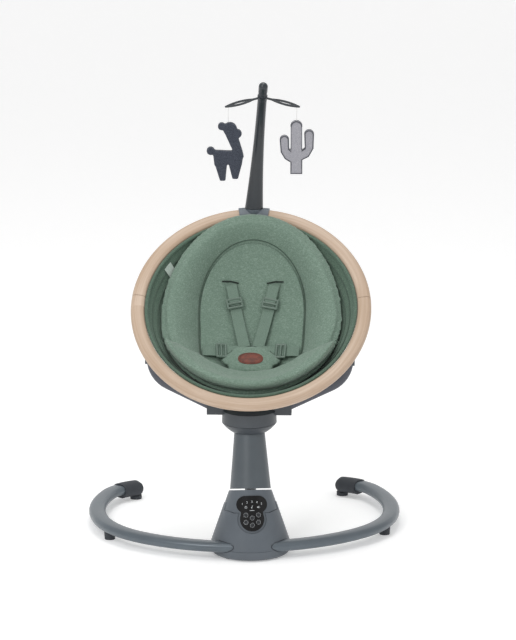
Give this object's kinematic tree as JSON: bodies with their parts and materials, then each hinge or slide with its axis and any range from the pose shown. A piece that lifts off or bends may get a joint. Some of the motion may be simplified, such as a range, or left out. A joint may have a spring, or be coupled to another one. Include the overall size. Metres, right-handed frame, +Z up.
{
  "type": "baby swing",
  "caption": "Round wooden hoop baby seat with a padded harness on a yoke and a swinging post, over a C-shaped floor frame, with a toy arm.",
  "frame": {"origin": "centre of the housing's underside pad, on the floor", "axes": "+Z up, +Y towards the back of the swing, +X to the right seen from the front"},
  "size_m": [0.6846, 0.5294, 0.9843],
  "materials": {
    "frame_paint": "satin",
    "soft_rubber": "matt",
    "base_plastic": "satin",
    "dark_plastic": "satin",
    "yoke_paint": "satin",
    "panel_black": "gloss",
    "button_black": "satin",
    "board_green": "satin",
    "steel": "satin",
    "coil_copper": "satin",
    "hoop_wood": "satin",
    "seat_fabric": "matt",
    "liner_fabric": "matt",
    "webbing": "matt",
    "buckle_plastic": "satin",
    "release_red": "satin",
    "badge_leather": "satin",
    "arm_plastic": "gloss",
    "felt_dark": "matt",
    "felt_light": "matt",
    "string_white": "matt"
  },
  "bodies": {
    "base": {"frame_tube_left": "frame_paint", "frame_tube_right": "frame_paint", "tube_end_cap_left": "soft_rubber", "tube_end_cap_right": "soft_rubber", "frame_feet": "soft_rubber", "base_plate": "base_plastic", "base_pads": "soft_rubber", "housing_shell": "base_plastic", "housing_front": "base_plastic", "housing_screws": "steel", "control_panel": "panel_black", "panel_board": "board_green", "swing_bearing": "steel", "drive_coil": "coil_copper", "speaker": "dark_plastic", "power_inlet": "dark_plastic"},
    "post": {"post_shell": "dark_plastic", "swing_shaft": "steel", "drive_lever": "steel", "drive_magnet": "steel", "hub_bowl": "dark_plastic", "swivel_pin": "steel"},
    "yoke": {"hub_housing": "dark_plastic", "yoke_arm_left": "yoke_paint", "yoke_arm_right": "yoke_paint", "hub_screws": "steel"},
    "seat": {"hoop_lower": "hoop_wood", "hoop_upper_left": "hoop_wood", "hoop_upper_right": "hoop_wood", "hoop_dowels": "steel", "hoop_bracket_left": "dark_plastic", "hoop_bracket_right": "dark_plastic", "recline_pins": "steel", "arm_socket": "dark_plastic", "bucket_liner": "liner_fabric", "seat_pad": "seat_fabric", "centre_panel": "seat_fabric", "shoulder_strap_left": "webbing", "shoulder_strap_right": "webbing", "waist_strap_left": "webbing", "waist_strap_right": "webbing", "strap_adjusters": "buckle_plastic", "buckle": "buckle_plastic", "crotch_cover": "seat_fabric", "badge": "badge_leather"},
    "buckle_release": {"buckle_button": "release_red"},
    "toy_bow": {"toy_arm": "arm_plastic", "arm_collars": "soft_rubber", "arm_end_cap": "arm_plastic", "crossbar": "arm_plastic"},
    "alpaca": {"alpaca_toy": "felt_dark", "alpaca_string": "string_white"},
    "cactus": {"cactus_toy": "felt_light", "cactus_string": "string_white"},
    "power_button_key": {"power_button": "button_black"},
    "speed_up_button_key": {"speed_up_button": "button_black"},
    "speed_down_button_key": {"speed_down_button": "button_black"},
    "timer_button_key": {"timer_button": "button_black"},
    "music_button_key": {"music_button": "button_black"},
    "volume_button_key": {"volume_button": "button_black"}
  },
  "joints": [
    {"name": "swing", "type": "hinge", "parent": "base", "child": "post", "pos_m": [0, 0, 0.137], "axis": [0, 0.2756, 0.9613], "range_deg": [-12, 12]},
    {"name": "seat_swivel", "type": "hinge", "parent": "post", "child": "yoke", "pos_m": [0, 0.04052, 0.27831], "axis": [0, 0, 1], "continuous": true},
    {"name": "recline", "type": "hinge", "parent": "yoke", "child": "seat", "pos_m": [0.0036, 0.07793, 0.40734], "axis": [-0.9954, 0.0958, 0], "range_deg": [0, 12]},
    {"name": "buckle_press", "type": "slide", "parent": "seat", "child": "buckle_release", "axis": [0.0491, 0.5097, -0.859], "range_m": [0, 0.002], "stiffness_N_per_m": 400},
    {"name": "toy_arm_swivel", "type": "hinge", "parent": "seat", "child": "toy_bow", "pos_m": [0.0271, 0.32192, 0.68649], "axis": [0, 0, 1], "range_deg": [-90, 90]},
    {"name": "alpaca_sway", "type": "hinge", "parent": "toy_bow", "child": "alpaca", "pos_m": [-0.03334, 0.24561, 0.92563], "axis": [0.9981, -0.061, 0], "range_deg": [-40, 40]},
    {"name": "cactus_sway", "type": "hinge", "parent": "toy_bow", "child": "cactus", "pos_m": [0.11438, 0.23658, 0.92563], "axis": [0.9981, -0.061, 0], "range_deg": [-40, 40]},
    {"name": "power_press", "type": "slide", "parent": "base", "child": "power_button_key", "axis": [0, 0.947, -0.3212], "range_m": [0, 0.0008], "stiffness_N_per_m": 800},
    {"name": "speed_up_press", "type": "slide", "parent": "base", "child": "speed_up_button_key", "axis": [0, 0.947, -0.3212], "range_m": [0, 0.0008], "stiffness_N_per_m": 800},
    {"name": "speed_down_press", "type": "slide", "parent": "base", "child": "speed_down_button_key", "axis": [0, 0.947, -0.3212], "range_m": [0, 0.0008], "stiffness_N_per_m": 800},
    {"name": "timer_press", "type": "slide", "parent": "base", "child": "timer_button_key", "axis": [0, 0.947, -0.3212], "range_m": [0, 0.0008], "stiffness_N_per_m": 800},
    {"name": "music_press", "type": "slide", "parent": "base", "child": "music_button_key", "axis": [0, 0.947, -0.3212], "range_m": [0, 0.0008], "stiffness_N_per_m": 800},
    {"name": "volume_press", "type": "slide", "parent": "base", "child": "volume_button_key", "axis": [0, 0.947, -0.3212], "range_m": [0, 0.0008], "stiffness_N_per_m": 800}
  ]
}
